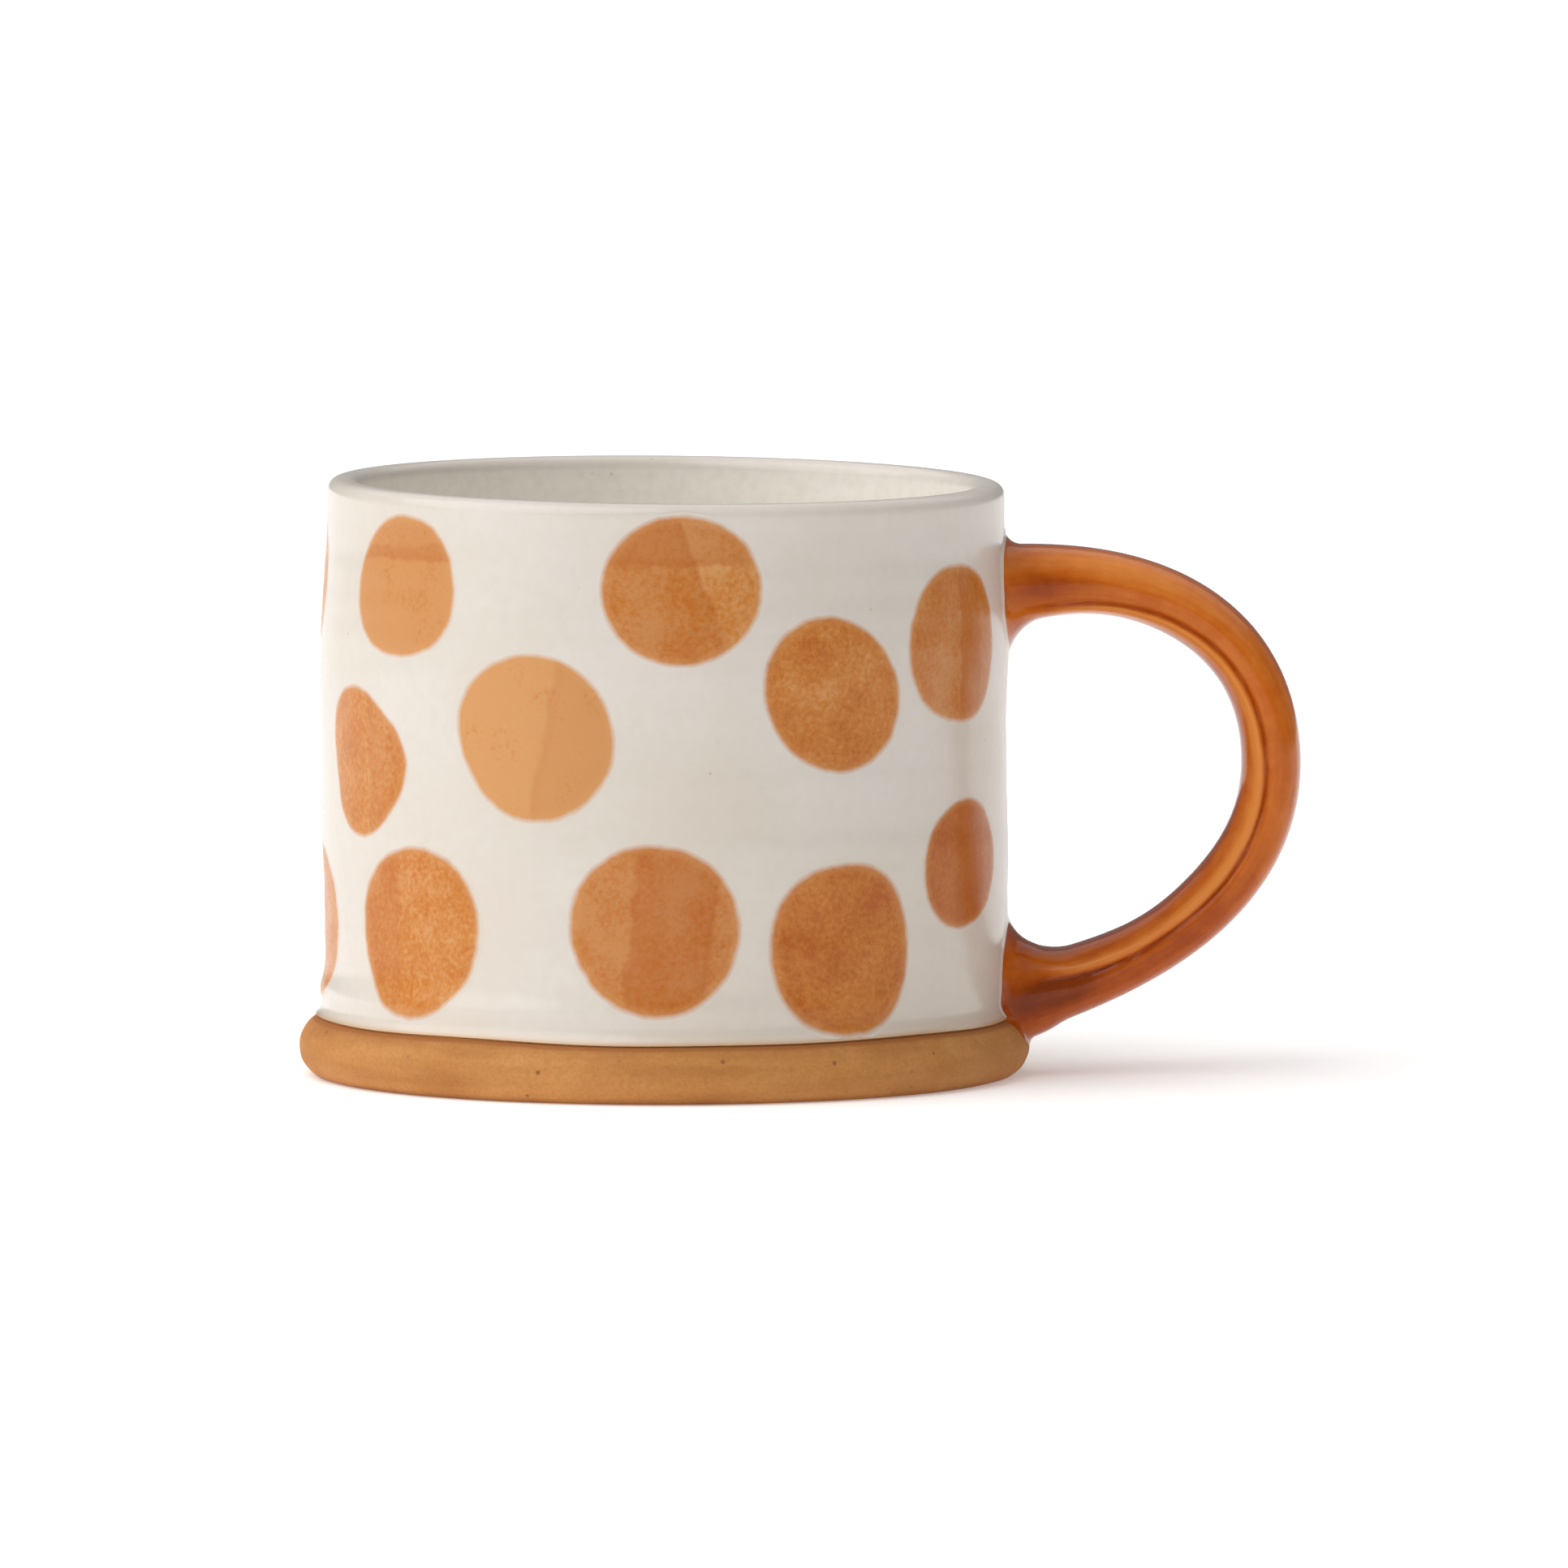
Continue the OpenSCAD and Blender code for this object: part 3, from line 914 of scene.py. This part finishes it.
lean = np.cos(np.arctan2(w, q))
outside_loop = np.clip(lean, 0, 1) ** 2
inside_loop = np.clip(-lean, 0, 1) ** 2
for gap, spread in ((distance - start_run, upper_spread), (to_end, lower_spread)):
    hold = 1 - smooth(gap, hold_from, hold_to)
    points[:, 0] += hold * (gap - to_wall(points))
    sides, outer, inner = spread
    reach = sides + (outer - sides) * outside_loop + (inner - sides) * inside_loop
    short = np.clip(reach - np.clip(gap, 0, None), 0, None)
    grow = reach - np.sqrt(np.clip(reach**2 - short**2, 0, None))
    points[:, 1] += grow * np.sin(theta)
    points[:, 2] += grow * np.cos(theta) * out[:, 1]
    points[:, 0] += hold * (gap - to_wall(points))
write_points(handle, points)
print("with its joints the handle is", round(float(np.ptp(points[:, 1])), 1), "mm broad at most")

# %% Store where the glaze is deep, with painted shade and sheen
upper_joint = bulge(share, 0.055, 0.045) * bulge(q, -0.05, 0.45)
lower_joint = bulge(share, 0.935, 0.06) * bulge(q, 0.12, 0.42)
# Painted sheen: the outer side of the upper arm is made a brighter amber.
upper_painted_sheen = bulge(share, 0.16, 0.12) * bulge(q, 0.62, 0.35)
# Painted shade: the outer side of the lower arm is made a deeper amber.
lower_painted_shade = bulge(share, 0.76, 0.13) * bulge(q, 0.45, 0.45)
pool_shade_and_sheen = 0.42 + 0.38 * groove - 0.55 * ridge
pool_shade_and_sheen += 0.425 * upper_joint + 0.65 * lower_joint - 0.30 * upper_painted_sheen + 0.26 * lower_painted_shade
# Painted shade: darker along the strap's inner and outer edges, and more and more towards the lower
# end.
pool_shade_and_sheen += 0.30 * smooth(-q, 0.80, 1.0) + 0.22 * smooth(q, 0.86, 1.0) + 0.12 * smooth(share, 0.55, 0.95)
stand_off = np.minimum(distance - start_run, to_end)
cream_run = (1 - smooth(stand_off, 0.0, 0.4)) * smooth(points[:, 2], foot_h - 0.2, foot_h + 0.6)
store(handle, "pool_shade_and_sheen", np.clip(pool_shade_and_sheen, 0, 1))
store(handle, "cream", cream_run)
store(handle, "along", np.stack([q * 5 * mm, w * 7 * mm, distance * mm], 1))
print("depth of the amber glaze runs from", pool_shade_and_sheen.min().round(2), "to", pool_shade_and_sheen.max().round(2))

# %% [markdown]
# The amber coat is a skin with the clay strap inside it. The strap is a copy of the same shape, made
# thinner all over by the glaze's thickness with Shrink/Fatten, with its ends closed.

# %% Clay strap and amber coat
alone(handle)
bpy.ops.object.duplicate()
strap = bpy.context.object
strap.name = "handle_clay"
bpy.ops.object.mode_set(mode="EDIT")
bpy.ops.mesh.select_all(action="SELECT")
bpy.ops.transform.shrink_fatten(value=-glaze_t * mm)
bpy.ops.mesh.select_all(action="DESELECT")
bpy.ops.mesh.select_non_manifold()
bpy.ops.mesh.edge_face_add()
bpy.ops.mesh.select_all(action="SELECT")
bpy.ops.mesh.normals_make_consistent(inside=False)
bpy.ops.object.mode_set(mode="OBJECT")
finish_piece(strap, clay_body, "handle")

alone(handle)
shell = handle.modifiers.new("glaze", "SOLIDIFY")
shell.thickness = glaze_t * mm
shell.offset = -1
bpy.ops.object.modifier_apply(modifier=shell.name)
finish_piece(handle, amber, "handle_glaze")

# %% [markdown]
# Between each end of the strap and the cup lies an oval pad of slip, which glues the two together.
# It is a flat disc whose two faces are pressed onto the curve of the wall, one on each side of it.

# %% Slip pads
pad_thick = 0.9
pad_wide, pad_high = 7.4, 4.8


def slip_pad(name, node, height):
    """The layer of slip under one end of the handle."""
    bpy.ops.object.select_all(action="DESELECT")
    bpy.ops.mesh.primitive_cylinder_add(vertices=96, radius=mm, depth=pad_thick * mm,
                                        end_fill_type="TRIFAN")
    pad = bpy.context.object
    pad.name = name
    flat = read_points(pad)
    y, z = flat[:, 0] * pad_wide, flat[:, 1] * pad_high + height
    radius = cup_surface(np.zeros_like(z), z)
    x = np.sqrt(radius**2 - y**2) + flat[:, 2]
    write_points(pad, np.stack([x, y, z], 1))
    finish_piece(pad, clay_body, node)


slip_pad("upper_handle_slip_pad", "upper_handle_slip", on_path(start_run)[0][1])
slip_pad("lower_handle_slip_pad", "lower_handle_slip", on_path(end_run)[0][1])

# %% [markdown]
# ## The spots
# Each spot is a thin patch of paint. It starts as a flat circle; its rim is extruded inwards ring by
# ring until it is a disc, with close rings near the border where the paint fades. The disc is bent
# round the wall with the same hand-made shape as the glaze, so it lies on it, and gets a thickness.
# The front follows the scheme that is seen; the rows go on round the back in the same way.

# %% Spot layout
# Each spot: angle round the cup (0 in front, 90 at the handle), height, half width, half height,
# (stretch, its angle), (point, its angle), (squareness, its angle), depth of colour from 0 to 1, then
# two overlaps of paint as (direction in degrees, place from -1 to 1, how much darker).
none = (0, 0, 0)
upper_row = [
    (-93, 68.0, 10.0, 9.4, (0.03, 40), (0.02, 0), (0.00, 0), 0.3, (100, 0.5, 0.2), none),
    (-49.9, 69.2, 10.6, 9.3, (0.040, 80), (0.026, -38), (0.012, -42), -0.06,
     (92, 0.42, 0.30), (272, -0.60, 0.20)),
    (3.0, 69.9, 10.9, 10.2, (0.012, 10), (0.004, 20), (0.00, 0), 0.24,
     (198, -0.28, 0.36), (90, 0.33, 0.36)),
    (58.3, 61.1, 10.4, 11.3, (0.045, -12), (0.02, -50), (0.018, 42), 0.36,
     (2, 0.08, 0.42), (183, -0.58, 0.28)),
    (134, 66.0, 10.8, 10.2, (0.04, 30), (0.02, 10), (0.01, 0), 0.25, (70, 0.2, 0.25), none),
    (180, 69.8, 11.0, 10.3, (0.02, -40), (0.02, 60), (0.01, 30), 0.20,
     (100, 0.25, 0.25), (200, 0.1, 0.25)),
    (224, 65.5, 10.6, 10.6, (0.05, -45), (0.02, 80), (0.00, 0), 0.35, none, none),
]
middle_row = [
    (-107, 44.5, 10.8, 10.6, (0.04, 60), (0.01, 0), (0.00, 0), 0.3, (150, 0.1, 0.2), none),
    (-60.7, 45.0, 10.3, 9.3, (0.085, -72), (0.062, 9), (0.01, 5), 0.42, (0, 0.2, 0.20), none),
    (-22.2, 49.7, 12.3, 10.4, (0.085, -80), (0.01, 35), (0.01, -10), -0.10, (-10, 0.12, 0.16), none),
    (29.7, 55.3, 10.8, 10.2, (0.068, -56), (0.010, -5), (0.00, 0), 0.56, none, none),
    (117, 42.0, 10.4, 10.0, (0.03, 20), (0.02, 50), (0.02, 40), 0.40, none, none),
    (159, 46.5, 11.4, 11.0, (0.05, -50), (0.01, 0), (0.00, 0), 0.15, (190, -0.1, 0.3), none),
    (207, 43.5, 10.9, 10.7, (0.03, 70), (0.03, 15), (0.01, 10), 0.25,
     (80, 0.4, 0.22), (260, -0.58, 0.2)),
]
lower_row = [
    (-86, 21.8, 10.8, 10.7, (0.03, -30), (0.01, 10), (0.00, 0), 0.35, none, none),
    (-46.7, 22.3, 11.9, 11.3, (0.036, 76), (0.02, 31), (0.01, -26), 0.40, (180, 0.25, 0.24), none),
    (-1.5, 23.6, 11.5, 11.8, (0.018, -20), (0.01, 35), (0.00, 0), 0.26,
     (174, -0.70, 0.34), (-6, -0.28, 0.36)),
    (31.6, 20.5, 10.5, 12.6, (0.060, -5), (0.012, 60), (0.020, -42), 0.72, none, none),
    (60.6, 30.9, 9.8, 8.7, (0.025, 56), (0.012, -20), (0.012, -32), 0.76,
     (181, -0.48, 0.32), (0, -0.2, 0.34)),
    (110, 22.5, 9.8, 9.6, (0.03, 20), (0.01, 10), (0.01, 0), 0.30, none, none),
    (144, 22.0, 11.4, 11.2, (0.04, -40), (0.02, 70), (0.00, 0), 0.20, (200, 0.0, 0.28), none),
    (190, 21.8, 11.6, 11.4, (0.02, 10), (0.02, 40), (0.02, 30), 0.15,
     (95, 0.25, 0.25), (10, -0.4, 0.2)),
    (231, 22.5, 11.2, 11.0, (0.04, 55), (0.01, 0), (0.00, 0), 0.42, none, none),
]
print("spots in each row:", len(upper_row), len(middle_row), len(lower_row))

# %% Spot maker
paint_gap = 0.010
paint_t = 0.025
patch_t = 0.12
fade_share = 0.18
rim_points = 96
spot_rings = [1.06, 1.045, 1.03, 1.015, 1.0, 0.985, 0.97, 0.955, 0.935, 0.91,
              0.88, 0.84, 0.78, 0.70, 0.60, 0.50, 0.40, 0.30, 0.20, 0.10]
rim_reach = spot_rings[0]


def spot(name, turn_deg, height, half_w, half_h, stretch, point, square, depth, overlap_a, overlap_b):
    """One painted patch, lying on the cup."""
    bpy.ops.object.select_all(action="DESELECT")
    bpy.ops.mesh.primitive_circle_add(vertices=rim_points, radius=rim_reach * mm)
    patch = bpy.context.object
    patch.name = name
    bpy.ops.object.mode_set(mode="EDIT")
    bpy.ops.mesh.select_all(action="SELECT")
    for outer_ring, inner_ring in zip(spot_rings, spot_rings[1:]):
        size = inner_ring / outer_ring
        bpy.ops.mesh.extrude_region_move()
        bpy.ops.transform.resize(value=(size, size, size), center_override=(0, 0, 0))
    bpy.ops.mesh.edge_face_add()
    bpy.ops.mesh.poke()
    bpy.ops.mesh.select_all(action="SELECT")
    bpy.ops.mesh.normals_make_consistent(inside=False)
    patch.update_from_editmode()
    if patch.data.polygons[0].normal.z < 0:
        bpy.ops.mesh.flip_normals()
    bpy.ops.object.mode_set(mode="OBJECT")

    flat = read_points(patch)
    reach = np.hypot(flat[:, 0], flat[:, 1])
    way = np.arctan2(flat[:, 1], flat[:, 0])
    uneven = 1 + sum(amount * np.cos(lobes * (way - math.radians(at)))
                     for lobes, (amount, at) in ((2, stretch), (3, point), (4, square)))
    u = flat[:, 0] * half_w * uneven
    v = flat[:, 1] * half_h * uneven
    angle = math.radians(turn_deg - 90) + u / cup_r
    z = np.maximum(height + v, foot_h + 0.3)
    lift = paint_gap + paint_t * smooth(rim_reach - reach, 0, 0.30)
    radius = glazed_radius(z) + lift
    x, y = radius * np.cos(angle), radius * np.sin(angle)
    write_points(patch, np.stack([x, y, z + dips(x, y, z)], 1))

    store(patch, "inward", (rim_reach - reach) / fade_share)
    store(patch, "brush", np.stack([u / half_w, v / half_h, np.zeros_like(u)], 1))
    store(patch, "strength", np.tile((overlap_a[2], overlap_b[2], depth), (len(u), 1)))
    for key, (heading, at, _) in (("overlap_a", overlap_a), ("overlap_b", overlap_b)):
        heading = math.radians(heading)
        store(patch, key, np.tile((math.cos(heading), math.sin(heading), at), (len(u), 1)))
    return patch


print("a spot is made of", len(spot_rings), "rings of", rim_points, "points")

# %% Paint the three rows
def row_of_spots(name, row, node):
    """All the spots of one row, as one object of separate patches."""
    patches = [spot(f"{name}_{i}", *entry) for i, entry in enumerate(row)]
    bpy.ops.object.select_all(action="DESELECT")
    for patch in patches:
        patch.select_set(True)
    bpy.context.view_layer.objects.active = patches[0]
    bpy.ops.object.join()
    piece = bpy.context.object
    piece.name = name
    write_points(piece, by_hand(read_points(piece)))
    skin = piece.modifiers.new("thickness", "SOLIDIFY")
    skin.thickness = patch_t * mm
    skin.offset = -1
    bpy.ops.object.modifier_apply(modifier=skin.name)
    finish_piece(piece, paint, node)


row_of_spots("upper_spots_paint", upper_row, "upper_spots")
row_of_spots("middle_spots_paint", middle_row, "middle_spots")
row_of_spots("lower_spots_paint", lower_row, "lower_spots")

# %% [markdown]
# ## The piece kept from the solid model
# The coil in the inside corner is the right shape already, and it is covered by glaze, so it stays
# as it is and only gets the finish of the clay.

# %% Clay finish for the coil
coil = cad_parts["inside_seam_coil"]
coil.data.materials.clear()
coil.data.materials.append(clay_body)
print(coil.name, "keeps its shape")
